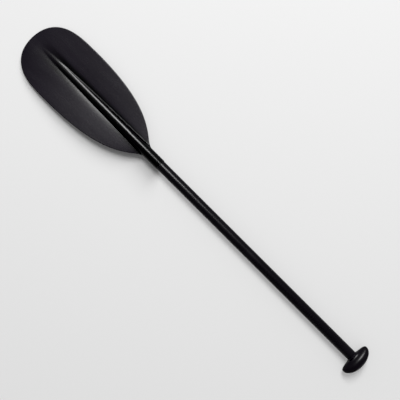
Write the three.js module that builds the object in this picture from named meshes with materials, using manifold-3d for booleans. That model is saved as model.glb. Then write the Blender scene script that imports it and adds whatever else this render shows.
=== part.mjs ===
// A single-bladed paddle: a moulded blade with a spine and a socket, a sleeved aluminium shaft, and a
// palm grip. A blind rivet holds each moulding on the shaft. Millimetres. +X runs along the shaft from
// the blade to the grip, +Y across the blade, and +Z up out of the dished face of the blade. The origin
// is under the middle of the paddle, on the surface that it lies on.
import * as THREE from "three";
import { mergeVertices } from "three/addons/utils/BufferGeometryUtils.js";
import Module from "manifold-3d";

// Whole paddle
const OVERALL_LENGTH = 1320;
const AXIS_HEIGHT = 22; // of the shaft's axis above the surface
const GAP = 0.3; // between pieces that meet end to end

// Blade: distances along it are counted from its tip
const BLADE_LENGTH = 532.5; // to the mouth of the socket
const BLADE_HALF_WIDTH = 101.3;
const SHOULDER = 168.5; // where the blade reaches its full width
const NECK = 489; // where the leaf has narrowed to nothing
const TIP_POWERS = [3.35, 2.2]; // of the superellipse round the tip, along and across
const NECK_TERMS = [51.1, 53]; // half width lost by the neck, with the square and the fifth power
const LEAF_START = 0.01; // the first section, as good as at the tip
const LEAF_END = 498; // the leaf is buried in the socket from the neck to here
const LEAF_END_HALF_WIDTH = 14.5;
const LEAF_CORE = 2; // half thickness beside the spine
const LEAF_EDGE = 1.4; // half thickness at the rim, and the radius that rounds it
const RIM_STEPS = [{ inset: 0, share: 0 }, { inset: 0.4, share: 0.03 }, { inset: 1.6, share: 0.1 }];
const LEAF_STEPS_ACROSS = [0.84, 0.69, 0.54, 0.4, 0.27, 0.2, 0.13]; // of the half width
const TIP_DROP = 19.5; // how far the leaf falls below the shaft's axis by its tip
const DROP_POWER = 1.2;
const DISH_LENGTH = 455; // the face is dished over this much of it
const DISH_POWER = 0.7; // flattens the dish's rise and fall along it
const RIM_RISE = 4.3; // of the rim above the leaf's middle line
const RIM_EASING = 0.15; // of the half width, over which the leaf starts to climb
const GUTTER_START = 25; // the shallow trough that the spine stands in
const GUTTER_END = 425;
const GUTTER_DEPTH = 2;
const GUTTER_HALF_WIDTH = 16;

// Spine and socket
const SPINE_START = 40;
const SPINE_FULL = 410; // where the spine has grown into the socket
const SPINE_POWERS = { width: 0.38, height: 1.35, depth: 0.45 }; // how fast each of them grows
const SOCKET_RADIUS = 16.1;
const SOCKET_BORE_RADIUS = 14.1;
const SOCKET_BORE_DEPTH = 118;
const SOCKET_LIP = 1; // rounding of the mouth

// Shaft
const TUBE_RADIUS = 14;
const TUBE_WALL = 1.3;
const SLEEVE_RADIUS = 14.7;
const SLEEVE_BORE_RADIUS = 14.1;
const PLUG_RADIUS = 12.6;
const PLUG_LENGTH = 30;
const PLUG_FROM_RIVET = 20; // blade end's plug, from the blade rivet
const PLUG_FROM_STEM = 3; // grip end's plug, from the grip's stem

// Palm grip: an oval body on a collar, with a hollow stem inside the tube
const GRIP_LENGTH = 34.8; // of the oval body along the shaft
const GRIP_HALF_WIDTH = 46.7;
const GRIP_HALF_DEPTH = 22.4;
const GRIP_INNER = 11.5; // from the oval's widest section to its face on the shaft's side
const GRIP_INNER_POWER = 3.1; // of the superellipse that flattens that face
const CREST_LEAN = 8; // how much further along the crest is than the widest section
const APEX_SHARE = 0.01; // of the full size, for the last section
const COLLAR_LENGTH = 5;
const COLLAR_FILLET = 4;
const STEM_LENGTH = 55;
const STEM_RADIUS = 12.6;
const STEM_BORE_RADIUS = 9.5;
const STEM_BORE_DEPTH = 52;

// Blind rivets, on the underside
const RIVET_RADIUS = 2;
const RIVET_HEAD_RADIUS = 4;
const RIVET_HEAD_HEIGHT = 1.3;
const RIVET_TAIL_RADIUS = 3.1;
const RIVET_TAIL_LENGTH = 3.6;
const RIVET_BORE_RADIUS = 1.1;
const MANDREL_RADIUS = 1;
const MANDREL_BALL_RADIUS = 1.8;
const RIVET_HOLE_RADIUS = 2.15;
const RIVET_FROM_MOUTH = 40; // blade rivet, from the mouth of the socket
const RIVET_FROM_COLLAR = 24; // grip rivet, from the end of the collar
const RIVET_CLEARANCE = 0.05; // under each head

// Facets
const ROUND_SEGMENTS = 48;
const OVAL_SEGMENTS = 36;
const SMALL_SEGMENTS = 20;
const TIP_CROWDING = 2.2; // sections crowd together towards the tip
const SPINE_CROWDING = 1.3; // and towards the start of the spine

// Places along X that follow from the dimensions
const TIP_X = -OVERALL_LENGTH / 2;
const MOUTH_X = TIP_X + BLADE_LENGTH;
const BODY_X = OVERALL_LENGTH / 2 - GRIP_LENGTH;
const COLLAR_X = BODY_X - COLLAR_LENGTH;
const TUBE_START_X = MOUTH_X - SOCKET_BORE_DEPTH + GAP;
const TUBE_END_X = COLLAR_X - GAP;
const BLADE_RIVET_X = MOUTH_X - RIVET_FROM_MOUTH;
const GRIP_RIVET_X = COLLAR_X - RIVET_FROM_COLLAR;

const wasm = await Module();
wasm.setup();

// ---- Solids and cuts ----

function toSolid(geometry) {
  geometry.deleteAttribute("normal");
  geometry.deleteAttribute("uv");
  const merged = mergeVertices(geometry);
  const mesh = new wasm.Mesh({
    numProp: 3,
    vertProperties: merged.attributes.position.array,
    triVerts: new Uint32Array(merged.index.array),
  });
  return new wasm.Manifold(mesh);
}

function toGeometry(solid) {
  const mesh = solid.getMesh();
  const geometry = new THREE.BufferGeometry();
  geometry.setAttribute("position", new THREE.BufferAttribute(mesh.vertProperties, 3));
  geometry.setIndex(new THREE.BufferAttribute(mesh.triVerts, 1));
  geometry.computeVertexNormals();
  return geometry;
}

function cut(solid, ...tools) {
  return toGeometry(tools.reduce((rest, tool) => rest.subtract(toSolid(tool)), solid));
}

// A closed body through rings of equally many points. Each ring runs from +Y over +Z.
function loft(rings) {
  const count = rings[0].length;
  const centres = [rings[0], rings.at(-1)].map((ring) => {
    const sum = ring.reduce((total, point) => total.add(point), new THREE.Vector3());
    return sum.divideScalar(count);
  });
  const first = rings.length * count;
  const index = [];
  for (let j = 0; j < count; j += 1) {
    const next = (j + 1) % count;
    index.push(first, next, j);
    index.push(first + 1, first - count + j, first - count + next);
    for (let i = 0; i < rings.length - 1; i += 1) {
      const here = i * count;
      const there = here + count;
      index.push(here + j, here + next, there + j);
      index.push(here + next, there + next, there + j);
    }
  }
  const geometry = new THREE.BufferGeometry().setFromPoints([...rings.flat(), ...centres]);
  geometry.setIndex(index);
  return geometry;
}

// An oval ring across the shaft, which can reach further below its centre than above it.
function ovalRing(x, z, halfWidth, height, depth, segments) {
  return Array.from({ length: segments }, (_, i) => {
    const angle = (2 * Math.PI * i) / segments;
    const sine = Math.sin(angle);
    return new THREE.Vector3(x, halfWidth * Math.cos(angle), z + sine * (sine > 0 ? height : depth));
  });
}

// A body turned round the shaft's axis, from [x, radius] pairs in order of rising x. A profile with a
// bore comes back along it and closes on itself.
function turned(profile, segments = ROUND_SEGMENTS) {
  const points = profile.map(([x, radius]) => new THREE.Vector2(radius, x));
  const geometry = new THREE.LatheGeometry(points, segments);
  return geometry.rotateZ(-Math.PI / 2).translate(0, 0, AXIS_HEIGHT);
}

function pipe(x0, x1, outer, inner) {
  return turned([[x0, inner], [x0, outer], [x1, outer], [x1, inner], [x0, inner]]);
}

function rod(x0, x1, radius) {
  return turned([[x0, 0], [x0, radius], [x1, radius], [x1, 0]]);
}

// A hole drilled up into the paddle from below, as far as the shaft's axis.
function rivetHole(x) {
  const drill = new THREE.CylinderGeometry(RIVET_HOLE_RADIUS, RIVET_HOLE_RADIUS, AXIS_HEIGHT, SMALL_SEGMENTS);
  return drill.rotateX(Math.PI / 2).translate(x, 0, AXIS_HEIGHT / 2);
}

// Everything below the surface that the paddle lies on: cutting it off leaves a flat to rest on.
function belowSurface() {
  return new THREE.BoxGeometry(2 * OVERALL_LENGTH, 4 * BLADE_HALF_WIDTH, 20).translate(0, 0, -10);
}

// ---- Blade ----

function leafHalfWidth(u) {
  if (u < SHOULDER) {
    const [along, across] = TIP_POWERS;
    return BLADE_HALF_WIDTH * (1 - (1 - u / SHOULDER) ** along) ** (1 / across);
  }
  const q = (u - SHOULDER) / (NECK - SHOULDER);
  const narrowed = BLADE_HALF_WIDTH - NECK_TERMS[0] * q ** 2 - NECK_TERMS[1] * q ** 5;
  const overlap = Math.max(LEAF_END_HALF_WIDTH - Math.abs(narrowed - LEAF_END_HALF_WIDTH), 0);
  return Math.max(narrowed, LEAF_END_HALF_WIDTH) + overlap ** 2 / (4 * LEAF_END_HALF_WIDTH);
}

// How far u has gone from start to end, kept between 0 and 1
function progress(u, start, end) {
  return THREE.MathUtils.clamp((u - start) / (end - start), 0, 1);
}

function middleLine(u) {
  return AXIS_HEIGHT - TIP_DROP * (1 - progress(u, 0, NECK)) ** DROP_POWER;
}

// Height of the middle of the leaf's thickness, which climbs from the spine's gutter towards the rim
function leafLevel(u, y) {
  const v = Math.abs(y) / leafHalfWidth(u);
  const dish = Math.sin(Math.PI * progress(u, 0, DISH_LENGTH)) ** DISH_POWER;
  const gutter = Math.sin(Math.PI * progress(u, GUTTER_START, GUTTER_END));
  const trough = GUTTER_DEPTH * gutter * Math.exp(-((y / GUTTER_HALF_WIDTH) ** 2));
  return middleLine(u) + RIM_RISE * dish * (Math.hypot(v, RIM_EASING) - RIM_EASING) - trough;
}

function rounded(distance) {
  const t = Math.min(distance / LEAF_EDGE, 1);
  return Math.sqrt(1 - (1 - t) ** 2);
}

function leafHalfThickness(u, y) {
  const v = Math.abs(y) / leafHalfWidth(u);
  const plain = LEAF_EDGE + (LEAF_CORE - LEAF_EDGE) * (1 - v * v);
  return plain * rounded(leafHalfWidth(u) - Math.abs(y)) * rounded(u);
}

// The steps at the rim are in millimetres, and shares of the half width where the leaf is narrow.
function leafRing(u) {
  const w = leafHalfWidth(u);
  const rim = RIM_STEPS.map(({ inset, share }) => w - Math.min(inset, share * w));
  const inner = LEAF_STEPS_ACROSS.map((share) => share * w);
  const side = [...rim, ...inner];
  const across = [...side, 0, ...side.map((y) => -y).reverse()];
  const point = (y, sign) =>
    new THREE.Vector3(TIP_X + u, y, leafLevel(u, y) + sign * leafHalfThickness(u, y));
  const top = across.map((y) => point(y, 1));
  const bottom = across.slice(1, -1).reverse().map((y) => point(y, -1));
  return [...top, ...bottom];
}

function makeLeaf() {
  const tipSteps = 15;
  const bodySteps = 23;
  const rings = [leafRing(LEAF_START)];
  for (let i = 1; i <= tipSteps; i += 1) rings.push(leafRing(SHOULDER * (i / tipSteps) ** TIP_CROWDING));
  for (let i = 1; i <= bodySteps; i += 1) {
    rings.push(leafRing(SHOULDER + ((LEAF_END - SHOULDER) * i) / bodySteps));
  }
  return loft(rings);
}

// The spine's section starts on the leaf's face and comes down to the shaft's axis as it grows.
function spineRing(u) {
  const grown = progress(u, SPINE_START, SPINE_FULL);
  const level = leafLevel(u, 0) + LEAF_CORE * (1 - grown);
  const size = (power) => SOCKET_RADIUS * grown ** power;
  const { width, height, depth } = SPINE_POWERS;
  return ovalRing(TIP_X + u, level, size(width), size(height), size(depth), OVAL_SEGMENTS);
}

function makeSpine() {
  const steps = 24;
  const rings = [];
  for (let i = 1; i <= steps; i += 1) {
    rings.push(spineRing(SPINE_START + (NECK - SPINE_START) * (i / steps) ** SPINE_CROWDING));
  }
  rings.push(spineRing(BLADE_LENGTH - SOCKET_LIP));
  const mouth = SOCKET_RADIUS - SOCKET_LIP;
  rings.push(ovalRing(MOUTH_X, AXIS_HEIGHT, mouth, mouth, mouth, OVAL_SEGMENTS));
  return loft(rings);
}

function makeBlade() {
  const body = toSolid(makeLeaf()).add(toSolid(makeSpine()));
  const bore = rod(MOUTH_X - SOCKET_BORE_DEPTH, MOUTH_X + 1, SOCKET_BORE_RADIUS);
  return cut(body, bore, rivetHole(BLADE_RIVET_X), belowSurface());
}

// ---- Shaft ----

function makeTube() {
  const tube = pipe(TUBE_START_X, TUBE_END_X, TUBE_RADIUS, TUBE_RADIUS - TUBE_WALL);
  return cut(toSolid(tube), rivetHole(BLADE_RIVET_X), rivetHole(GRIP_RIVET_X));
}

function makeSleeve() {
  const sleeve = pipe(MOUTH_X + GAP, TUBE_END_X, SLEEVE_RADIUS, SLEEVE_BORE_RADIUS);
  return cut(toSolid(sleeve), rivetHole(GRIP_RIVET_X));
}

// ---- Grip ----

function makeGrip() {
  const widestX = BODY_X + GRIP_INNER;
  const round = (x, radius) => ovalRing(x, AXIS_HEIGHT, radius, radius, radius, OVAL_SEGMENTS);
  const oval = (x, share, lean) => {
    const halfDepth = Math.max(GRIP_HALF_DEPTH * share, SLEEVE_RADIUS * Math.min(1, 2 * share));
    const halfWidth = GRIP_HALF_WIDTH * share;
    const ring = ovalRing(x, AXIS_HEIGHT, halfWidth, halfDepth, halfDepth, OVAL_SEGMENTS);
    for (const point of ring) point.x += lean * (1 - (point.y / halfWidth) ** 4);
    return ring;
  };
  const rings = [
    round(COLLAR_X - STEM_LENGTH, STEM_RADIUS),
    round(COLLAR_X, STEM_RADIUS),
    round(COLLAR_X, SLEEVE_RADIUS),
  ];
  // A fillet swells the collar into the face of the oval body.
  const filletShare = (SLEEVE_RADIUS + COLLAR_FILLET) / GRIP_HALF_WIDTH;
  const filletX = widestX - GRIP_INNER * (1 - filletShare ** GRIP_INNER_POWER) ** (1 / GRIP_INNER_POWER);
  const filletSteps = 5;
  for (let i = 0; i < filletSteps; i += 1) {
    const angle = (Math.PI / 2) * (i / filletSteps);
    const halfWidth = SLEEVE_RADIUS + COLLAR_FILLET * (1 - Math.cos(angle));
    const x = filletX - COLLAR_FILLET * (1 - Math.sin(angle));
    rings.push(ovalRing(x, AXIS_HEIGHT, halfWidth, SLEEVE_RADIUS, SLEEVE_RADIUS, OVAL_SEGMENTS));
  }
  const innerSteps = 8;
  for (let i = 0; i < innerSteps; i += 1) {
    const share = Math.sin(THREE.MathUtils.lerp(Math.asin(filletShare), Math.PI / 2, i / innerSteps));
    const reach = (1 - share ** GRIP_INNER_POWER) ** (1 / GRIP_INNER_POWER);
    const lean = (CREST_LEAN * (share - filletShare)) / (1 - filletShare);
    rings.push(oval(widestX - GRIP_INNER * reach, share, lean));
  }
  const outerSteps = 9;
  const domeLength = GRIP_LENGTH - GRIP_INNER;
  for (let i = 0; i < outerSteps; i += 1) {
    const angle = (Math.PI / 2) * (i / outerSteps);
    const share = Math.cos(angle);
    rings.push(oval(widestX + domeLength * Math.sin(angle), share, CREST_LEAN * share ** 2));
  }
  rings.push(oval(OVERALL_LENGTH / 2, APEX_SHARE, 0));
  const bore = rod(COLLAR_X - STEM_LENGTH - 1, COLLAR_X - STEM_LENGTH + STEM_BORE_DEPTH, STEM_BORE_RADIUS);
  return cut(toSolid(loft(rings)), bore, rivetHole(GRIP_RIVET_X), belowSurface());
}

// ---- Rivets ----

// Profiles are [height, radius] pairs from the head upwards. seat is the height of the surface under
// the head, and grip the thickness of the walls that the rivet clamps.
function stood(x, seat, profile) {
  const points = profile.map(([height, radius]) => new THREE.Vector2(radius, height));
  return new THREE.LatheGeometry(points, SMALL_SEGMENTS).rotateX(Math.PI / 2).translate(x, 0, seat);
}

function makeRivetBody(x, seat, grip) {
  const tailTop = grip + RIVET_TAIL_LENGTH;
  return stood(x, seat, [
    [-RIVET_HEAD_HEIGHT, RIVET_BORE_RADIUS],
    [-RIVET_HEAD_HEIGHT, 0.45 * RIVET_HEAD_RADIUS],
    [-0.75 * RIVET_HEAD_HEIGHT, 0.8 * RIVET_HEAD_RADIUS],
    [-0.3 * RIVET_HEAD_HEIGHT, RIVET_HEAD_RADIUS],
    [0, RIVET_HEAD_RADIUS],
    [0, RIVET_RADIUS],
    [grip, RIVET_RADIUS],
    [grip + 0.3 * RIVET_TAIL_LENGTH, RIVET_TAIL_RADIUS],
    [grip + 0.7 * RIVET_TAIL_LENGTH, RIVET_TAIL_RADIUS],
    [tailTop, 0.75 * RIVET_TAIL_RADIUS],
    [tailTop, RIVET_BORE_RADIUS],
    [-RIVET_HEAD_HEIGHT, RIVET_BORE_RADIUS],
  ]);
}

function makeRivetMandrel(x, seat, grip) {
  const ballBase = grip + RIVET_TAIL_LENGTH + GAP;
  return stood(x, seat, [
    [-0.5 * RIVET_HEAD_HEIGHT, 0],
    [-0.5 * RIVET_HEAD_HEIGHT, MANDREL_RADIUS],
    [ballBase, MANDREL_RADIUS],
    [ballBase, 0.8 * MANDREL_BALL_RADIUS],
    [ballBase + 0.6 * MANDREL_BALL_RADIUS, MANDREL_BALL_RADIUS],
    [ballBase + 1.3 * MANDREL_BALL_RADIUS, 0.7 * MANDREL_BALL_RADIUS],
    [ballBase + 1.6 * MANDREL_BALL_RADIUS, 0],
  ]);
}

// ---- Assembly ----

const blackPlastic = { color: 0x17171a, roughness: 0.45, metalness: 0 };
const blackVinyl = { color: 0x0d0d0f, roughness: 0.5, metalness: 0 };
const gripPlastic = { color: 0x101012, roughness: 0.35, metalness: 0 };
const bareAluminium = { color: 0xb8bbc0, roughness: 0.35, metalness: 1 };
const rivetAluminium = { color: 0xa4a7ab, roughness: 0.3, metalness: 1 };
const foam = { color: 0x5a5c60, roughness: 0.95, metalness: 0 };

const group = new THREE.Group();

function addPiece(name, geometry, finish) {
  const mesh = new THREE.Mesh(geometry, new THREE.MeshStandardMaterial(finish));
  mesh.name = name;
  group.add(mesh);
}

const bladePlugX = BLADE_RIVET_X + PLUG_FROM_RIVET;
const gripPlugX = COLLAR_X - STEM_LENGTH - PLUG_FROM_STEM;
addPiece("blade", makeBlade(), blackPlastic);
addPiece("shaft_tube", makeTube(), bareAluminium);
addPiece("shaft_sleeve", makeSleeve(), blackVinyl);
addPiece("palm_grip", makeGrip(), gripPlastic);
addPiece("foam_plug_blade_end", rod(bladePlugX, bladePlugX + PLUG_LENGTH, PLUG_RADIUS), foam);
addPiece("foam_plug_grip_end", rod(gripPlugX - PLUG_LENGTH, gripPlugX, PLUG_RADIUS), foam);

const rivets = [
  { name: "blade_rivet", x: BLADE_RIVET_X, outer: SOCKET_RADIUS, inner: TUBE_RADIUS - TUBE_WALL },
  { name: "grip_rivet", x: GRIP_RIVET_X, outer: SLEEVE_RADIUS, inner: STEM_BORE_RADIUS },
];
for (const { name, x, outer, inner } of rivets) {
  const seat = AXIS_HEIGHT - outer - RIVET_CLEARANCE;
  const grip = outer - inner + 2 * RIVET_CLEARANCE;
  addPiece(`${name}_body`, makeRivetBody(x, seat, grip), rivetAluminium);
  addPiece(`${name}_mandrel`, makeRivetMandrel(x, seat, grip), rivetAluminium);
}

export default group;
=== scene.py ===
"""A single-bladed paddle lying face up on a pale floor.

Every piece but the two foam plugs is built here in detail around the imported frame, in metres, with +X
from the blade to the grip, +Y across the blade and +Z up. Along the blade, u is the distance from its tip.
"""

import math

import bpy
import numpy as np
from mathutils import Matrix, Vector


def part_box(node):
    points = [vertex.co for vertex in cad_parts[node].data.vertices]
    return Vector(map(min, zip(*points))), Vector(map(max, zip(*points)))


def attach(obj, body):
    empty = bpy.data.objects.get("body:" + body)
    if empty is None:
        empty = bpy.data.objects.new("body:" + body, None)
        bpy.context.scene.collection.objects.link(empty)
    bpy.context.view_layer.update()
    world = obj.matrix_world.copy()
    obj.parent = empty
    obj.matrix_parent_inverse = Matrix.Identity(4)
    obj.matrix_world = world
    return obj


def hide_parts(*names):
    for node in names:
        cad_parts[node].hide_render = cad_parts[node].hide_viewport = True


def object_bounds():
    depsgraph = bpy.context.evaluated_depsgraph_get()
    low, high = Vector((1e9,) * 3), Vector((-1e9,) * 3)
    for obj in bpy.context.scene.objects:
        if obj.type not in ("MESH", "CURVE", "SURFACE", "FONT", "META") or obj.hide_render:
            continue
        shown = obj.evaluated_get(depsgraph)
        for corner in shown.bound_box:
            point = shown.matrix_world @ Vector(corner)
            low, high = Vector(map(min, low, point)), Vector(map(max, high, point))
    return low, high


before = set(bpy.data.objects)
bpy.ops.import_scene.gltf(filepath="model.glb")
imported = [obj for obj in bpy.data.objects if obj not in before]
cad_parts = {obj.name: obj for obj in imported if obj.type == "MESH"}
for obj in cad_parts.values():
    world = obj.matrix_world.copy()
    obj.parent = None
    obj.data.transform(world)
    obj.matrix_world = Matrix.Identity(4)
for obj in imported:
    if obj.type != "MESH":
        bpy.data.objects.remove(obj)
cad_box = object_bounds()

MM = 0.001

# ---- Places that follow from the frame ----

blade_low, blade_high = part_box("blade")
sleeve_low, sleeve_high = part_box("shaft_sleeve")
tube_low, tube_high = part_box("shaft_tube")
grip_low, grip_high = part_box("palm_grip")
TIP = blade_low.x
MOUTH = blade_high.x
AXIS = (sleeve_low.z + sleeve_high.z) / 2
SLEEVE_RADIUS = (sleeve_high.z - sleeve_low.z) / 2
TUBE_RADIUS = (tube_high.z - tube_low.z) / 2
SOCKET_RADIUS = blade_high.z - AXIS
BLADE_HALF_WIDTH = blade_high.y
GRIP_HALF_WIDTH = grip_high.y
GRIP_HALF_DEPTH = grip_high.z - AXIS
GRIP_END = grip_high.x
STEM_START = grip_low.x

# ---- Driving dimensions that the frame's boxes don't give ----

SHOULDER = 168.5 * MM  # from the tip to where the blade is widest
NECK = 489 * MM  # from the tip to where the leaf has narrowed to the socket
TIP_POWERS = (3.35, 2.2)  # of the superellipse round the tip, along and across
NECK_TERMS = (51.1 * MM, 53 * MM)  # half width lost by the neck, with the square and the fifth power
NECK_HALF_WIDTH = 15.5 * MM  # the leaf fairs into the socket at this half width
NECK_FAIRING = 14 * MM
NECK_SLOPE = 0.3  # half width lost per metre past the neck, where the leaf is inside the socket
LEAF_CORE = 2 * MM  # half thickness beside the spine
LEAF_EDGE = 1.4 * MM  # half thickness at the rim, and the radius that rounds it
TIP_DROP = 19.5 * MM  # how far the leaf falls below the shaft's axis by its tip
DROP_POWER = 1.2
DISH_LENGTH = 455 * MM
DISH_POWER = 0.7
RIM_RISE = 4.3 * MM  # of the rim above the middle line, before the easing takes off a seventh of it
RIM_EASING = 0.15  # of the half width, over which the leaf starts to climb
GUTTER_START = 25 * MM  # the shallow trough that the spine stands in
GUTTER_END = 425 * MM
GUTTER_DEPTH = 2 * MM
GUTTER_HALF_WIDTH = 16 * MM
SPINE_START = 40 * MM
SPINE_FULL = 410 * MM
SPINE_POWERS = (0.38, 1.35, 0.45)  # how fast its width, height and depth grow
SPINE_FILLET = 0.7 * MM
EDGE_FADE = 14 * MM  # how far in from the rim the leaf can be scuffed
EDGE_END = 45 * MM  # before the neck, where the scuffed rim stops
POLISH_HALF_WIDTH = 27 * MM  # the spine and its gutter are smoother than the leaf, fading out to here
POLISH_FADE = 8 * MM
POLISH_START = 80 * MM  # along the spine from its tip, while the polish fades in
SOCKET_BORE_RADIUS = 14.1 * MM
SOCKET_BORE_DEPTH = 118 * MM
LIP_LENGTH = 1 * MM  # the socket's mouth is rounded within this length
LIP_OUTER_ROUNDING = 0.8 * MM
LIP_INNER_ROUNDING = 0.4 * MM
TUBE_WALL = 1.3 * MM
TUBE_ROUNDING = 0.3 * MM
SLEEVE_ROUNDING = 0.25 * MM
GRIP_LENGTH = 34.8 * MM
GRIP_INNER = 11.5 * MM  # from the grip's widest section to its face on the shaft's side
GRIP_INNER_POWER = 3.1  # of the superellipse that flattens that face
CREST_LEAN = 8 * MM  # the grip's crest is this much further along than its widest section
GRIP_FAIRING = 3 * MM  # blends the grip's depth into the collar's
COLLAR_LENGTH = 5 * MM
COLLAR_FILLET = 4 * MM
COLLAR_ROUNDING = 0.3 * MM
STEM_RADIUS = 12.6 * MM
STEM_ROUNDING = 0.8 * MM
STEM_BORE_RADIUS = 9.5 * MM
STEM_BORE_DEPTH = 52 * MM
STEM_BORE_ROUNDING = 0.5 * MM
RIVET_HOLE_RADIUS = 2.15 * MM
RIVET_BORE_RADIUS = 1.1 * MM
RIVET_SHANK_RADIUS = 2 * MM
RIVET_HEAD_RADIUS = 4 * MM
RIVET_HEAD_HEIGHT = 1.3 * MM
RIVET_TAIL_RADIUS = 3.1 * MM
RIVET_TAIL_LENGTH = 3.6 * MM
RIVET_FLAT_RADIUS = 2.3 * MM  # of the flat on its domed head and of the one on its swollen tail
MANDREL_RADIUS = 0.98 * MM
MANDREL_HEAD_RADIUS = 1.8 * MM
MANDREL_HEAD_LENGTH = 2.88 * MM

# ---- How finely the meshes are divided ----

SPINE_SAMPLES = 90  # of a fine section outline, from the spine's crest or keel to its foot
LEAF_SAMPLES = 420  # and from there to the rim
LEAST_FOOT = 0.07  # of the leaf's half width, where the spine is thinner than that or hasn't begun
FOOT_CROWDING = 1.6  # draws the samples towards the foot, as the square after it does towards the rim
RING_STRETCHES = (  # points, and whether they crowd at the start and at the end
    (20, False, True),  # from the spine's crest to its foot
    (50, True, True),  # across the leaf's face to the rim
    (40, True, True),  # back under the leaf
    (18, True, False),  # from the foot to the spine's keel
)
CROWDING = 0.75  # 0 would spread them evenly
EVEN_START = 395 * MM  # from here the points begin to spread evenly,
EVEN_REACH = 85 * MM  # and this much further along they are
TIP_RINGS = 60
TIP_CROWDING = 2.2
LEAF_RINGS = 115
SOCKET_RINGS = 11
BORE_RINGS = 10
BORE_RINGS_START = 4 * MM  # inside the mouth
TUBE_SEGMENTS = 96
SLEEVE_SEGMENTS = 128
PIPE_SEAM = 2 * MM  # a pipe's outline starts and ends in its bore, this far in from its two ends
GRIP_SEGMENTS = 120
GRIP_FILLET_RINGS = 12
GRIP_INNER_RINGS = 25
GRIP_OUTER_RINGS = 31
RIVET_SEGMENTS = 48
DRILL_LEAD = 3 * MM  # how far below a rivet's head its drill starts

# ---- Studio ----

SOFTBOX_PLACE = (-2.8, 2.9, 6.0)
SOFTBOX_SIZE = (1.8, 3.6)
SOFTBOX_POWER = 300
SIDE_PLACE = (-2.5, 6.6, 4.2)
SIDE_SIZE = (4.0, 4.0)
SIDE_POWER = 480
WORLD_LEVEL = 0.3
BLACK_LEVEL = 0.012
FLOOR_HALF_SIZE = 30
FLOOR_LEVEL = -0.2 * MM  # just clear of the flats that the paddle rests on
FLOOR_AWAY = (0.6, -0.8, 0)  # the way along the floor that leads away from the softbox
FLOOR_REACH = 0.9
FLOOR_TONES = (0.72, 0.76)  # FLOOR_REACH towards the softbox, and as far the other way
CAMERA_AIM = (0.0218, 0.0092)  # from the paddle's middle, along and across
CAMERA_AZIMUTH = 45
CAMERA_ELEVATION = 85.74
CAMERA_DISTANCE = 1.645
CAMERA_LENS = 52.57  # millimetres, as is the sensor
CAMERA_SENSOR = 36


# ---- Mesh helpers ----

def make_object(name, vertices, faces, sharp_angle=40):
    mesh = bpy.data.meshes.new(name)
    mesh.from_pydata([tuple(v) for v in vertices], [], faces)
    mesh.validate()
    mesh.shade_smooth()
    mesh.set_sharp_from_angle(angle=math.radians(sharp_angle))
    piece = bpy.data.objects.new(name, mesh)
    bpy.context.scene.collection.objects.link(piece)
    return piece


def loft(name, rings, first_centre, last_centre, sharp_angle=40):
    """A closed body through rings of equally many points, each anticlockwise as seen from +X."""
    rings = np.asarray(rings, float)
    ring_count, count = rings.shape[:2]
    vertices = np.vstack([rings.reshape(-1, 3), first_centre, last_centre])
    first = ring_count * count
    faces = []
    for j in range(count):
        after = (j + 1) % count
        faces.append((first, after, j))
        faces.append((first + 1, first - count + j, first - count + after))
        for here in range(0, first - count, count):
            faces.append((here + j, here + after, here + count + after, here + count + j))
    return make_object(name, vertices, faces, sharp_angle)


def rounded(corners, steps=6):
    """The outline through (along, radius, rounding) corners, with a curve in place of each rounded one."""
    outline = []
    for i, (along, radius, rounding) in enumerate(corners):
        here = Vector((along, radius))
        if rounding == 0 or i in (0, len(corners) - 1):
            outline.append(here)
            continue
        before = (Vector(corners[i - 1][:2]) - here).normalized()
        after = (Vector(corners[i + 1][:2]) - here).normalized()
        half = before.angle(after) / 2
        reach = rounding / math.tan(half)
        start = here + before * reach
        end = here + after * reach
        for step in range(steps + 1):
            t = step / steps
            # at a right angle this quadratic is within about 6% of the rounding's radius of an arc
            outline.append((1 - t) ** 2 * start + 2 * t * (1 - t) * here + t ** 2 * end)
    return outline


def circle(x, radius, angles):
    """A ring round the shaft's axis"""
    across = radius * np.cos(angles)
    up = AXIS + radius * np.sin(angles)
    return np.stack([np.full_like(angles, x), across, up], axis=-1)


def turned(name, outline, segments, sharp_angle=40):
    """A body turned round the shaft's axis, from an outline that starts and ends on the axis or closes."""
    angles = np.linspace(0, 2 * math.pi, segments, endpoint=False)
    closed = outline[0][1] > 0
    if not closed:
        first = (outline[0][0], 0, AXIS)
        last = (outline[-1][0], 0, AXIS)
        return loft(name, [circle(x, r, angles) for x, r in outline[1:-1]], first, last, sharp_angle)
    vertices = np.concatenate([circle(x, r, angles) for x, r in outline])
    faces = []
    for i in range(len(outline)):
        here = i * segments
        there = (i + 1) % len(outline) * segments
        for j in range(segments):
            after = (j + 1) % segments
            faces.append((here + j, here + after, there + after, there + j))
    return make_object(name, vertices, faces, sharp_angle)


# ---- Blade ----

def smooth_max(a, b, reach):
    """The larger of a and b, with the corner eased where they are within reach of each other"""
    overlap = np.clip(reach - np.abs(a - b), 0, None)
    return np.maximum(a, b) + overlap ** 2 / (4 * reach)


def leaf_half_width(u):
    along, across = TIP_POWERS
    tip = BLADE_HALF_WIDTH * (1 - np.clip(1 - u / SHOULDER, 0, 1) ** along) ** (1 / across)
    q = np.clip((u - SHOULDER) / (NECK - SHOULDER), 0, None)
    narrowed = BLADE_HALF_WIDTH - NECK_TERMS[0] * q ** 2 - NECK_TERMS[1] * q ** 5
    fading = NECK_HALF_WIDTH - NECK_SLOPE * np.clip(u - NECK, 0, None)
    return np.where(u < SHOULDER, tip, smooth_max(narrowed, fading, NECK_FAIRING))


def middle_line(u):
    """The height of the blade before its dish and gutter, which falls from the shaft's axis to the tip"""
    return AXIS - TIP_DROP * np.clip(1 - u / NECK, 0, 1) ** DROP_POWER


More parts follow.
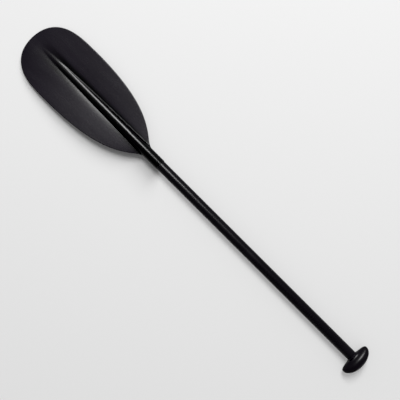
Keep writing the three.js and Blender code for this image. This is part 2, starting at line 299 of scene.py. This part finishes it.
def leaf_level(u, y):
    """The middle of the leaf's thickness, which climbs from the spine's gutter towards the rim"""
    v = np.clip(np.abs(y) / leaf_half_width(u), 0, 1)
    dish = np.sin(math.pi * np.clip(u / DISH_LENGTH, 0, 1)) ** DISH_POWER
    gutter = np.sin(math.pi * np.clip((u - GUTTER_START) / (GUTTER_END - GUTTER_START), 0, 1))
    trough = GUTTER_DEPTH * gutter * np.exp(-(y / GUTTER_HALF_WIDTH) ** 2)
    return middle_line(u) + RIM_RISE * dish * (np.hypot(v, RIM_EASING) - RIM_EASING) - trough


def spine_growth(u):
    """0 at the spine's tip and 1 where it is full, but never quite 0, as section() divides by its sizes"""
    return np.clip((u - SPINE_START) / (SPINE_FULL - SPINE_START), 1e-6, 1)


def spine_size(u):
    """The half width of the spine, its height above its middle and its depth below it"""
    return [SOCKET_RADIUS * spine_growth(u) ** power for power in SPINE_POWERS]


def spine_level(u):
    """The middle of the spine's section: the leaf's face at the spine's tip, and the shaft's axis later"""
    return leaf_level(u, 0 * u) + LEAF_CORE * (1 - spine_growth(u))


def section(u, y, z, outline_slope):
    """Below 0 inside the blade: the leaf and the spine joined by a fillet, in the plane across it at u."""
    half_width = leaf_half_width(u)
    v = np.clip(np.abs(y) / half_width, 0, 1)
    half_thickness = LEAF_EDGE + (LEAF_CORE - LEAF_EDGE) * (1 - v * v)
    inset = (half_width - np.abs(y)) / np.sqrt(1 + outline_slope ** 2)
    past_rim = LEAF_EDGE - inset
    past_face = np.abs(z - leaf_level(u, y)) - (half_thickness - LEAF_EDGE)
    inside = np.minimum(np.maximum(past_rim, past_face), 0)
    leaf = inside + np.hypot(np.clip(past_rim, 0, None), np.clip(past_face, 0, None)) - LEAF_EDGE
    width, height, depth = spine_size(u)
    up = z - spine_level(u)
    reach = np.where(up > 0, height, depth)
    spine = (np.hypot(y / width, up / reach) - 1) * np.minimum(width, reach)
    fillet = np.minimum(SPINE_FILLET, 0.5 * reach)
    corner = np.hypot(np.clip(fillet - leaf, 0, None), np.clip(fillet - spine, 0, None))
    return np.maximum(fillet, np.minimum(leaf, spine)) - corner


def bisect(inside, low, high, steps=36):
    """Where inside() changes from below 0, at low, to above 0, at high"""
    for _ in range(steps):
        middle = (low + high) / 2
        within = inside(middle) < 0
        low = np.where(within, middle, low)
        high = np.where(within, high, middle)
    return (low + high) / 2


def half_outlines(u):
    """For each u, the section's half on the +Y side, from the top over the rim to the bottom, as fine
    polylines"""
    u = u[:, None]
    step = 0.01 * MM
    slope = (leaf_half_width(u + step) - leaf_half_width(np.maximum(u - step, 0))) / (2 * step)
    width = spine_size(u)[0]
    foot = np.maximum(width, LEAST_FOOT * leaf_half_width(u))
    widest = np.maximum(leaf_half_width(u), width)
    rim = bisect(lambda y: section(u, y, leaf_level(u, y), slope), 0.5 * widest, widest + SPINE_FILLET)
    over_spine = foot * np.sin(np.linspace(0, math.pi / 2, SPINE_SAMPLES))[None, :]
    share = np.linspace(0, 1, LEAF_SAMPLES)[None, 1:]
    beyond = foot + (rim - foot) * (1 - (1 - share ** FOOT_CROWDING) ** 2)
    y = np.minimum(np.concatenate([over_spine, beyond], axis=1), rim)
    level = leaf_level(u, y)
    far = 2 * SOCKET_RADIUS
    top = bisect(lambda z: section(u, y, z, slope), level, level + far)
    bottom = bisect(lambda z: section(u, y, z, slope), level, level - far)
    top[:, -1] = bottom[:, -1] = level[:, -1]
    bottom = np.maximum(bottom, 0)
    outline_y = np.concatenate([y, y[:, -2::-1]], axis=1)
    outline_z = np.concatenate([top, bottom[:, -2::-1]], axis=1)
    return outline_y, outline_z


def spread(start, end, count, crowd_start, crowd_end):
    """count places from start up to end, without it, drawn closer together at the ends that say so"""
    t = np.linspace(0, 1, count, endpoint=False)
    if crowd_start and crowd_end:
        eased = (1 - np.cos(math.pi * t)) / 2
    elif crowd_end:
        eased = np.sin(math.pi / 2 * t)
    else:
        eased = 1 - np.cos(math.pi / 2 * t)
    return start + (end - start) * ((1 - CROWDING) * t + CROWDING * eased)


def blade_rings(u):
    """Closed rings whose points follow the spine's foot and the rim along the leaf, and are evenly
    spread round the socket."""
    rings = []
    for station, y, z in zip(u, *half_outlines(u)):
        arc = np.concatenate([[0], np.cumsum(np.hypot(np.diff(y), np.diff(z)))])
        last = len(y) - 1
        foot = SPINE_SAMPLES - 1
        marks = arc[[0, foot, last // 2, last - foot, last]]
        stretches = [
            spread(start, end, *crowding)
            for start, end, crowding in zip(marks[:-1], marks[1:], RING_STRETCHES)
        ]
        followed = np.concatenate([*stretches, marks[-1:]])
        even = np.linspace(0, arc[-1], len(followed))
        t = np.clip((station - EVEN_START) / EVEN_REACH, 0, 1)
        t = t * t * (3 - 2 * t)
        places = (1 - t) * followed + t * even
        right_y = np.interp(places, arc, y)
        right_z = np.interp(places, arc, z)
        ring_y = np.concatenate([right_y[::-1], -right_y[1:-1]])
        ring_z = np.concatenate([right_z[::-1], right_z[1:-1]])
        rings.append(np.stack([np.full_like(ring_y, TIP + station), ring_y, ring_z], axis=-1))
    return rings


def make_blade():
    tip = SHOULDER * (np.arange(1, TIP_RINGS + 1) / TIP_RINGS) ** TIP_CROWDING
    leaf = np.linspace(SHOULDER, NECK, LEAF_RINGS + 1)[1:]
    socket = np.linspace(NECK, MOUTH - TIP - LIP_LENGTH, SOCKET_RINGS + 1)[1:]
    rings = blade_rings(np.concatenate([tip, leaf, socket]))
    offsets = rings[-1][:, 1:] - (0, AXIS)
    angles = np.arctan2(offsets[:, 1], offsets[:, 0])
    bore_end = MOUTH - SOCKET_BORE_DEPTH
    lip = rounded([
        (MOUTH - LIP_LENGTH, SOCKET_RADIUS, 0),
        (MOUTH, SOCKET_RADIUS, LIP_OUTER_ROUNDING),
        (MOUTH, SOCKET_BORE_RADIUS, LIP_INNER_ROUNDING),
        (bore_end, SOCKET_BORE_RADIUS, 0),
    ])
    for x, radius in lip[1:-1]:
        rings.append(circle(x, radius, angles))
    for x in np.linspace(MOUTH - BORE_RINGS_START, bore_end, BORE_RINGS):
        rings.append(circle(x, SOCKET_BORE_RADIUS, angles))
    piece = loft("blade_moulding", rings, (TIP, 0, middle_line(0.0)), (bore_end, 0, AXIS))
    drill_rivet_hole(piece, "blade_rivet_body")
    mark_blade(piece)
    return piece


def mark(piece, name, values):
    """Stores a value from 0 to 1 for each vertex, which the piece's finish reads by name."""
    attribute = piece.data.attributes.new(name, "FLOAT", "POINT")
    attribute.data.foreach_set("value", np.clip(values, 0, 1).astype(np.float32))


def mark_blade(piece):
    """For the finish: edge falls from 1 at the leaf's rim to 0 inside it, and polish is 1 on the spine,
    its gutter and the socket, which are smoother than the leaf."""
    count = len(piece.data.vertices)
    places = np.empty(count * 3, np.float32)
    piece.data.vertices.foreach_get("co", places)
    places = places.reshape(-1, 3)
    along = places[:, 0] - TIP
    across = np.abs(places[:, 1])
    inset = np.minimum(leaf_half_width(np.clip(along, 0, NECK)) - across, along)
    edge = np.where(along > NECK - EDGE_END, 0, 1 - inset / EDGE_FADE)
    near_spine = np.clip((POLISH_HALF_WIDTH - across) / POLISH_FADE, 0, 1)
    begun = np.clip((along - SPINE_START) / POLISH_START, 0, 1)
    mark(piece, "edge", edge)
    mark(piece, "polish", np.maximum(near_spine * begun, (along - NECK) / POLISH_FADE))


def drill_rivet_hole(piece, rivet):
    """Cuts the hole that a rivet goes through, up to the shaft's axis."""
    low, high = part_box(rivet)
    x = (low.x + high.x) / 2
    start = low.z - DRILL_LEAD
    # half a step round, so that no corner of the drill lies on the paddle's own middle line
    angles = (np.arange(RIVET_SEGMENTS) + 0.5) * 2 * math.pi / RIVET_SEGMENTS
    along = x - RIVET_HOLE_RADIUS * np.sin(angles)
    across = RIVET_HOLE_RADIUS * np.cos(angles)
    rings = [np.stack([along, across, np.full_like(angles, z)], axis=-1) for z in (start, AXIS)]
    drill = loft("drill", rings, (x, 0, start), (x, 0, AXIS))
    modifier = piece.modifiers.new("hole", "BOOLEAN")
    modifier.object = drill
    modifier.solver = "EXACT"
    bpy.context.view_layer.update()
    evaluated = piece.evaluated_get(bpy.context.evaluated_depsgraph_get())
    holed = bpy.data.meshes.new_from_object(evaluated)
    piece.modifiers.clear()
    piece.data = holed
    bpy.data.objects.remove(drill)


# ---- Shaft ----

def pipe(name, low, high, bore, outside, segments):
    """A pipe as long as its node's box. bore and outside are each a radius and its rounding at the ends."""
    return turned(name, rounded([
        (low.x + PIPE_SEAM, bore[0], 0),
        (low.x, *bore),
        (low.x, *outside),
        (high.x, *outside),
        (high.x, *bore),
        (high.x - PIPE_SEAM, bore[0], 0),
    ]), segments)


def make_tube():
    bore = (TUBE_RADIUS - TUBE_WALL, TUBE_ROUNDING)
    outside = (TUBE_RADIUS, TUBE_ROUNDING)
    piece = pipe("tube", tube_low, tube_high, bore, outside, TUBE_SEGMENTS)
    drill_rivet_hole(piece, "blade_rivet_body")
    drill_rivet_hole(piece, "grip_rivet_body")
    return piece


def make_sleeve():
    """The sleeve has the same bore as the socket, with square edges."""
    bore = (SOCKET_BORE_RADIUS, 0)
    outside = (SLEEVE_RADIUS, SLEEVE_ROUNDING)
    piece = pipe("sleeve", sleeve_low, sleeve_high, bore, outside, SLEEVE_SEGMENTS)
    drill_rivet_hole(piece, "grip_rivet_body")
    return piece


# ---- Grip ----

def grip_half_sizes():
    """(x, half width, half depth, lean of the crest) of the grip's sections from the collar to its end"""
    body = GRIP_END - GRIP_LENGTH
    widest = body + GRIP_INNER
    sections = []
    fillet_share = (SLEEVE_RADIUS + COLLAR_FILLET) / GRIP_HALF_WIDTH

    def inner_x(share):
        return widest - GRIP_INNER * (1 - share ** GRIP_INNER_POWER) ** (1 / GRIP_INNER_POWER)

    def depth(share):
        """The grip's own depth or the collar's, whichever is more. The collar's shrinks below half the
        width, which leaves a narrow groove where the grip meets it."""
        kept = min(1, 2 * share)
        return smooth_max(GRIP_HALF_DEPTH * share, SLEEVE_RADIUS * kept, GRIP_FAIRING * kept)

    for angle in np.linspace(0, math.pi / 2, GRIP_FILLET_RINGS + 1)[:-1]:
        half_width = SLEEVE_RADIUS + COLLAR_FILLET * (1 - math.cos(angle))
        x = inner_x(fillet_share) - COLLAR_FILLET * (1 - math.sin(angle))
        sections.append((x, half_width, SLEEVE_RADIUS, 0))
    for angle in np.linspace(math.asin(fillet_share), math.pi / 2, GRIP_INNER_RINGS + 1)[:-1]:
        share = math.sin(angle)
        lean = CREST_LEAN * (share - fillet_share) / (1 - fillet_share)
        sections.append((inner_x(share), GRIP_HALF_WIDTH * share, depth(share), lean))
    for angle in np.linspace(0, math.pi / 2, GRIP_OUTER_RINGS + 1)[:-1]:
        share = math.cos(angle)
        x = widest + (GRIP_LENGTH - GRIP_INNER) * math.sin(angle)
        sections.append((x, GRIP_HALF_WIDTH * share, depth(share), CREST_LEAN * share ** 2))
    return sections


def make_grip():
    angles = np.linspace(0, 2 * math.pi, GRIP_SEGMENTS, endpoint=False)
    collar = GRIP_END - GRIP_LENGTH - COLLAR_LENGTH
    bore_end = STEM_START + STEM_BORE_DEPTH
    stem = rounded([
        (bore_end, STEM_BORE_RADIUS, 0),
        (STEM_START, STEM_BORE_RADIUS, STEM_BORE_ROUNDING),
        (STEM_START, STEM_RADIUS, STEM_ROUNDING),
        (collar, STEM_RADIUS, 0),
        (collar, SLEEVE_RADIUS, COLLAR_ROUNDING),
        (collar + 1 * MM, SLEEVE_RADIUS, 0),
    ])
    rings = [circle(x, radius, angles) for x, radius in stem]
    for x, half_width, half_depth, lean in grip_half_sizes():
        across = half_width * np.cos(angles)
        up = np.maximum(AXIS + half_depth * np.sin(angles), 0)
        rings.append(np.stack([x + lean * (1 - np.cos(angles) ** 4), across, up], axis=-1))
    piece = loft("grip_moulding", rings, (bore_end, 0, AXIS), (GRIP_END, 0, AXIS))
    drill_rivet_hole(piece, "grip_rivet_body")
    return piece


# ---- Rivets ----

def stood(name, node, outline):
    """A body turned round a rivet's upright axis, from an outline of (height, radius) pairs."""
    low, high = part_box(node)
    x = (low.x + high.x) / 2
    piece = turned(name, outline, RIVET_SEGMENTS, 30)
    places = np.array([v.co for v in piece.data.vertices])
    turned_up = np.stack([x - (places[:, 2] - AXIS), places[:, 1], low.z + places[:, 0]], axis=-1)
    piece.data.vertices.foreach_set("co", turned_up.astype(np.float32).ravel())
    piece.data.update()
    return piece


def make_rivet(rivet):
    """The set body with its domed head and swollen tail, and the broken mandrel left in its bore. Their
    outlines are counted upwards, from the head's face and from the mandrel's broken end."""
    body_low, body_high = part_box(f"{rivet}_body")
    length = body_high.z - body_low.z
    head, tail = RIVET_HEAD_HEIGHT, RIVET_TAIL_LENGTH
    body = stood(f"{rivet}_shell", f"{rivet}_body", rounded([
        (0.6 * MM, RIVET_BORE_RADIUS, 0),
        (0, RIVET_BORE_RADIUS, 0.15 * MM),
        (0, RIVET_FLAT_RADIUS, 1.5 * MM),
        (0.7 * head, RIVET_HEAD_RADIUS, 0.5 * MM),
        (head, RIVET_HEAD_RADIUS, 0.1 * MM),
        (head, RIVET_SHANK_RADIUS, 0),
        (length - tail, RIVET_SHANK_RADIUS, 0.3 * MM),
        (length - 0.6 * tail, RIVET_TAIL_RADIUS, 0.9 * MM),
        (length, RIVET_FLAT_RADIUS, 0.5 * MM),
        (length, RIVET_BORE_RADIUS, 0.1 * MM),
        (length - 0.6 * MM, RIVET_BORE_RADIUS, 0),
    ]))
    mandrel_low, mandrel_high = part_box(f"{rivet}_mandrel")
    top = mandrel_high.z - mandrel_low.z
    ball = top - MANDREL_HEAD_LENGTH
    mandrel = stood(f"{rivet}_pin", f"{rivet}_mandrel", rounded([
        (0, 0, 0),
        (0, 0.6 * MM, 0),
        (0.2 * MM, MANDREL_RADIUS, 0.1 * MM),
        (ball, MANDREL_RADIUS, 0),
        (ball, 1.5 * MM, 0.2 * MM),
        (ball + 1.1 * MM, MANDREL_HEAD_RADIUS, 0.6 * MM),
        (top - 0.2 * MM, 1.1 * MM, 0.5 * MM),
        (top, 0, 0),
    ]))
    return body, mandrel


# ---- Finishes ----

class Finish:
    """One Principled material, with a short call for each kind of node that the finishes share."""

    def __init__(self, name, **values):
        self.material = bpy.data.materials.new(name)
        self.material.use_nodes = True
        self.tree = self.material.node_tree
        self.shader = self.tree.nodes["Principled BSDF"]
        for socket, value in values.items():
            self.shader.inputs[socket.replace("_", " ")].default_value = value
        self.place = self.node("ShaderNodeTexCoord").outputs["Object"]

    def node(self, kind, inputs=None, **settings):
        made = self.tree.nodes.new(kind)
        for name, value in settings.items():
            setattr(made, name, value)
        for name, value in (inputs or {}).items():
            self.join(value, made.inputs[name])
        return made

    def join(self, value, socket):
        if isinstance(value, bpy.types.NodeSocket):
            self.tree.links.new(value, socket)
        else:
            socket.default_value = value

    def feed(self, **sockets):
        for name, value in sockets.items():
            self.join(value, self.shader.inputs[name.replace("_", " ")])

    def noise(self, scale, detail=3, roughness=0.5, stretch=(1, 1, 1)):
        """Noise with about `scale` waves in a metre, drawn out where stretch is below 1"""
        place = self.node("ShaderNodeMapping", {"Vector": self.place, "Scale": stretch}).outputs[0]
        inputs = {"Vector": place, "Scale": scale, "Detail": detail, "Roughness": roughness}
        return self.node("ShaderNodeTexNoise", inputs).outputs[0]

    def cells(self, scale):
        return self.node("ShaderNodeTexVoronoi", {"Vector": self.place, "Scale": scale}).outputs[0]

    def attribute(self, name):
        return self.node("ShaderNodeAttribute", attribute_name=name).outputs["Fac"]

    def remap(self, value, low, high, to_low=0.0, to_high=1.0):
        inputs = {"Value": value, "From Min": low, "From Max": high, "To Min": to_low, "To Max": to_high}
        return self.node("ShaderNodeMapRange", inputs).outputs[0]

    def math(self, operation, a, b=0.0):
        made = self.node("ShaderNodeMath", operation=operation)
        self.join(a, made.inputs[0])
        self.join(b, made.inputs[1])
        return made.outputs[0]

    # a Mix node's sockets share their names, so mix and blend pick them by number
    def mix(self, factor, a, b):
        made = self.node("ShaderNodeMix", data_type="RGBA")
        self.join(factor, made.inputs[0])
        self.join(a, made.inputs[6])
        self.join(b, made.inputs[7])
        return made.outputs[2]

    def blend(self, factor, a, b):
        made = self.node("ShaderNodeMix", data_type="FLOAT")
        self.join(factor, made.inputs[0])
        self.join(a, made.inputs[2])
        self.join(b, made.inputs[3])
        return made.outputs[0]

    def bump(self, height, distance, normal=None):
        inputs = {"Height": height, "Distance": distance, "Strength": 1.0}
        if normal is not None:
            inputs["Normal"] = normal
        return self.node("ShaderNodeBump", inputs).outputs[0]


def grey(level, blue=1.0, green=1.0):
    """A grey of that level, with its blue and green scaled to tint it"""
    return (level, level * green, level * blue, 1)


def blade_plastic():
    """Near-black glass-filled plastic with a fine grain, a smoother spine and a scuffed rim."""
    finish = Finish("blade_plastic", IOR=1.45)
    polish = finish.attribute("polish")
    mottle = finish.noise(9, 4)
    flow = finish.noise(60, 5, 0.6, (0.12, 1, 1))
    scuffs = finish.remap(finish.noise(700, 2, 0.5, (0.05, 1, 1)), 0.66, 0.78)
    edge = finish.attribute("edge")
    worn = finish.math("MULTIPLY", finish.math("POWER", edge, 3), finish.remap(finish.noise(240), 0.4, 0.7))
    base = finish.mix(finish.remap(mottle, 0.3, 0.7), grey(0.0048, 1.4, 0.7), grey(0.0068, 1.4, 0.7))
    base = finish.mix(polish, base, grey(0.0022, 1.1))
    base = finish.mix(finish.math("MULTIPLY", scuffs, 0.2), base, grey(0.02))
    base = finish.mix(finish.math("MULTIPLY", worn, 0.4), base, grey(0.02))
    leaf_rough = finish.remap(flow, 0.3, 0.7, 0.25, 0.28)
    spine_rough = finish.remap(flow, 0.3, 0.7, 0.2, 0.24)
    rough = finish.blend(polish, leaf_rough, spine_rough)
    rough = finish.math("ADD", rough, finish.math("MULTIPLY", scuffs, 0.08))
    grain = finish.bump(finish.noise(2600, 2), 0.02 * MM)
    finish.feed(Base_Color=base, Roughness=rough, Normal=finish.bump(flow, 0.012 * MM, grain))
    return finish.material


def sleeve_vinyl():
    """Extruded black vinyl: long faint die lines and a slight orange peel."""
    finish = Finish("sleeve_vinyl", IOR=1.5)
    lines = finish.noise(900, 3, 0.5, (0.01, 1, 1))
    peel = finish.noise(420, 2)
    rubbed = finish.remap(finish.noise(14, 4, 0.6), 0.45, 0.75)
    base = finish.mix(rubbed, grey(0.003, 1.3, 0.8), grey(0.0045, 1.25, 0.8))
    rough = finish.remap(peel, 0.3, 0.7, 0.24, 0.29)
    rough = finish.math("ADD", rough, finish.math("MULTIPLY", rubbed, 0.05))
    finish.feed(Base_Color=base, Roughness=rough)
    finish.feed(Normal=finish.bump(peel, 0.006 * MM, finish.bump(lines, 0.008 * MM)))
    return finish.material


def grip_plastic():
    """Moulded grip: a little duller than the blade, with the mould's parting line round its sides."""
    finish = Finish("grip_plastic", IOR=1.5)
    handled = finish.remap(finish.noise(30, 4), 0.35, 0.7)
    base = finish.mix(handled, grey(0.003, 1.3, 0.75), grey(0.0045, 1.3, 0.75))
    height = finish.node("ShaderNodeSeparateXYZ", {"Vector": finish.place}).outputs[2]
    from_seam = finish.math("ABSOLUTE", finish.math("SUBTRACT", height, AXIS))
    seam = finish.remap(from_seam, 0.0, 0.35 * MM, 1.0, 0.0)
    grain = finish.bump(finish.noise(1800, 2), 0.02 * MM)
    finish.feed(Base_Color=base, Roughness=finish.remap(handled, 0, 1, 0.31, 0.37))
    finish.feed(Normal=finish.bump(seam, 0.12 * MM, grain))
    return finish.material


def drawn_metal(name, level, roughness):
    """Metal with fine draw lines along the shaft."""
    finish = Finish(name, Metallic=1.0)
    lines = finish.noise(1400, 4, 0.6, (0.02, 1, 1))
    dull = finish.noise(40, 4)
    finish.feed(Base_Color=finish.mix(finish.remap(dull, 0.35, 0.7), grey(level), grey(0.85 * level, 1.03)))
    finish.feed(Roughness=finish.remap(lines, 0.3, 0.7, roughness - 0.05, roughness + 0.1))
    finish.feed(Normal=finish.bump(lines, 0.01 * MM))
    return finish.material


def closed_cell_foam():
    finish = Finish("foam", Roughness=0.95)
    cells = finish.cells(900)
    finish.feed(Base_Color=finish.mix(finish.remap(cells, 0.1, 0.6), grey(0.06), grey(0.12)))
    finish.feed(Normal=finish.bump(cells, 0.3 * MM))
    return finish.material


def floor_paint():
    """Pale paint that gets lighter away from the softbox, which evens out the light's fall-off."""
    finish = Finish("floor_paint", Roughness=0.8)
    away = finish.node("ShaderNodeVectorMath", {0: finish.place, 1: FLOOR_AWAY}, operation="DOT_PRODUCT")
    tone = finish.remap(away.outputs["Value"], -FLOOR_REACH, FLOOR_REACH, *FLOOR_TONES)
    finish.feed(Base_Color=finish.node("ShaderNodeCombineColor", {0: tone, 1: tone, 2: tone}).outputs[0])
    return finish.material


# ---- Object ----

def place(piece, material, slot, *nodes):
    """Gives a piece its material, hides its CAD nodes and hangs it from the root body."""
    piece.data.materials.clear()
    piece.data.materials.append(material)
    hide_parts(*nodes)
    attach(piece, "root")


blade = make_blade()
place(blade, blade_plastic(), "blade_plastic", "blade")
place(make_sleeve(), sleeve_vinyl(), "sleeve_vinyl", "shaft_sleeve")
place(make_grip(), grip_plastic(), "grip_plastic", "palm_grip")
place(make_tube(), drawn_metal("tube_aluminium", 0.72, 0.3), "tube_aluminium", "shaft_tube")

rivet_metal = drawn_metal("rivet_aluminium", 0.62, 0.32)
pin_metal = drawn_metal("mandrel_steel", 0.45, 0.4)
for rivet_name in ("blade_rivet", "grip_rivet"):
    shell, pin = make_rivet(rivet_name)
    place(shell, rivet_metal, "rivet_aluminium", f"{rivet_name}_body")
    place(pin, pin_metal, "mandrel_steel", f"{rivet_name}_mandrel")

foam = closed_cell_foam()
for plug in ("foam_plug_blade_end", "foam_plug_grip_end"):
    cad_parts[plug].data.materials.clear()
    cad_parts[plug].data.materials.append(foam)


# ---- Floor, light and camera ----

def make_floor():
    half = FLOOR_HALF_SIZE
    corners = [
        (-half, -half, FLOOR_LEVEL),
        (half, -half, FLOOR_LEVEL),
        (half, half, FLOOR_LEVEL),
        (-half, half, FLOOR_LEVEL),
    ]
    floor = make_object("floor", corners, [(0, 1, 2, 3)])
    floor.data.materials.append(floor_paint())
    floor.visible_glossy = False  # reflections show the darker world, so the paddle's edges stay dark


def add_light(name, location, size, power):
    """A soft light that faces the middle of the floor"""
    data = bpy.data.lights.new(name, "AREA")
    data.shape = "RECTANGLE"
    data.size, data.size_y = size
    data.energy = power
    light = bpy.data.objects.new(name, data)
    light.location = location
    light.rotation_euler = (-Vector(location)).to_track_quat("-Z", "Y").to_euler()
    bpy.context.scene.collection.objects.link(light)
    return light


def make_world():
    world = bpy.data.worlds.new("studio")
    world.use_nodes = True
    background = world.node_tree.nodes["Background"]
    background.inputs["Color"].default_value = (1, 1, 1, 1)
    background.inputs["Strength"].default_value = WORLD_LEVEL
    bpy.context.scene.world = world


def make_camera():
    """Looks down at the paddle from over its shaft, with the blade at the upper left of the frame."""
    middle = (Vector(cad_box[0]) + Vector(cad_box[1])) / 2
    aim = Vector((middle.x + CAMERA_AIM[0], middle.y + CAMERA_AIM[1], AXIS))
    azimuth = math.radians(CAMERA_AZIMUTH)
    elevation = math.radians(CAMERA_ELEVATION)
    back = Vector((
        math.sin(azimuth) * math.cos(elevation),
        -math.cos(azimuth) * math.cos(elevation),
        math.sin(elevation),
    ))
    data = bpy.data.cameras.new("camera")
    data.lens = CAMERA_LENS
    data.sensor_width = CAMERA_SENSOR
    camera = bpy.data.objects.new("camera", data)
    camera.location = aim + CAMERA_DISTANCE * back
    camera.rotation_euler = (-back).to_track_quat("-Z", "Y").to_euler()
    bpy.context.scene.collection.objects.link(camera)
    bpy.context.scene.camera = camera


def set_tones():
    """Standard colours with slightly crushed blacks, as product photographs have."""
    view = bpy.context.scene.view_settings
    view.view_transform = "Standard"
    view.use_curve_mapping = True
    view.curve_mapping.black_level = (BLACK_LEVEL, BLACK_LEVEL, BLACK_LEVEL)


make_floor()
make_world()
add_light("softbox", SOFTBOX_PLACE, SOFTBOX_SIZE, SOFTBOX_POWER)
# the low side light only draws out the blade's shadow: without these limits it would double every
# highlight and shadow
side = add_light("side", SIDE_PLACE, SIDE_SIZE, SIDE_POWER)
side.visible_glossy = False
blockers = bpy.data.collections.new("side_blockers")
blockers.objects.link(blade)
side.light_linking.blocker_collection = blockers
make_camera()
set_tones()
